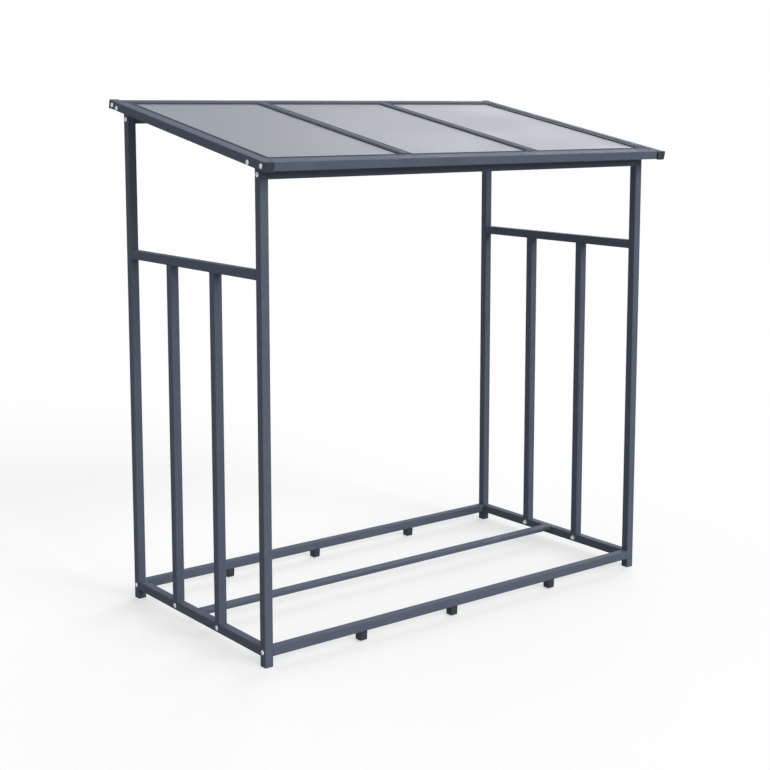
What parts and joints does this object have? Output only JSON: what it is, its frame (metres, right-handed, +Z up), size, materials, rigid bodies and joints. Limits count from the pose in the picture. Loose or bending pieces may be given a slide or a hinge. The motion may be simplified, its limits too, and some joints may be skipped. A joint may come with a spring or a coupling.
{
  "type": "log store",
  "caption": "Open steel-tube log store with barred side frames and a lean-to roof of translucent panels.",
  "frame": {"origin": "on the ground, under the middle of the roof's footprint", "axes": "+X along the front to the right as seen from the front, +Y to the back, +Z up"},
  "size_m": [1.43, 0.8, 1.45],
  "materials": {
    "coated_steel": "satin powder coat",
    "moulded_caps": "moulded",
    "roof_sheet": "smooth",
    "zinc_plated": "zinc plated",
    "rubber_seal": "extruded"
  },
  "bodies": {
    "root": {"end_cap_front_left": "moulded_caps", "end_cap_front_right": "moulded_caps", "end_cap_rear_left": "moulded_caps", "end_cap_rear_right": "moulded_caps", "foot_cap_front_left": "moulded_caps", "foot_cap_front_right": "moulded_caps", "foot_cap_rear_left": "moulded_caps", "foot_cap_rear_right": "moulded_caps", "front_bottom_rail": "coated_steel", "front_roof_rail": "coated_steel", "front_top_beam": "coated_steel", "glazing_bar_1": "coated_steel", "glazing_bar_2": "coated_steel", "lower_post_front_left": "coated_steel", "lower_post_front_right": "coated_steel", "lower_post_rear_left": "coated_steel", "lower_post_rear_right": "coated_steel", "middle_floor_bar": "coated_steel", "rafter_left": "coated_steel", "rafter_right": "coated_steel", "rear_bottom_rail": "coated_steel", "rear_roof_rail": "coated_steel", "rear_top_beam": "coated_steel", "roof_panel_1": "roof_sheet", "roof_panel_2": "roof_sheet", "roof_panel_3": "roof_sheet", "side_bar_left_1": "coated_steel", "side_bar_left_2": "coated_steel", "side_bar_right_1": "coated_steel", "side_bar_right_2": "coated_steel", "side_bottom_rail_left": "coated_steel", "side_bottom_rail_right": "coated_steel", "side_upper_rail_left": "coated_steel", "side_upper_rail_right": "coated_steel", "support_foot_front_1": "moulded_caps", "support_foot_front_2": "moulded_caps", "support_foot_front_3": "moulded_caps", "support_foot_rear_1": "moulded_caps", "support_foot_rear_2": "moulded_caps", "support_foot_rear_3": "moulded_caps", "upper_post_front_left": "coated_steel", "upper_post_front_right": "coated_steel", "upper_post_rear_left": "coated_steel", "upper_post_rear_right": "coated_steel"}
  },
  "joints": []
}
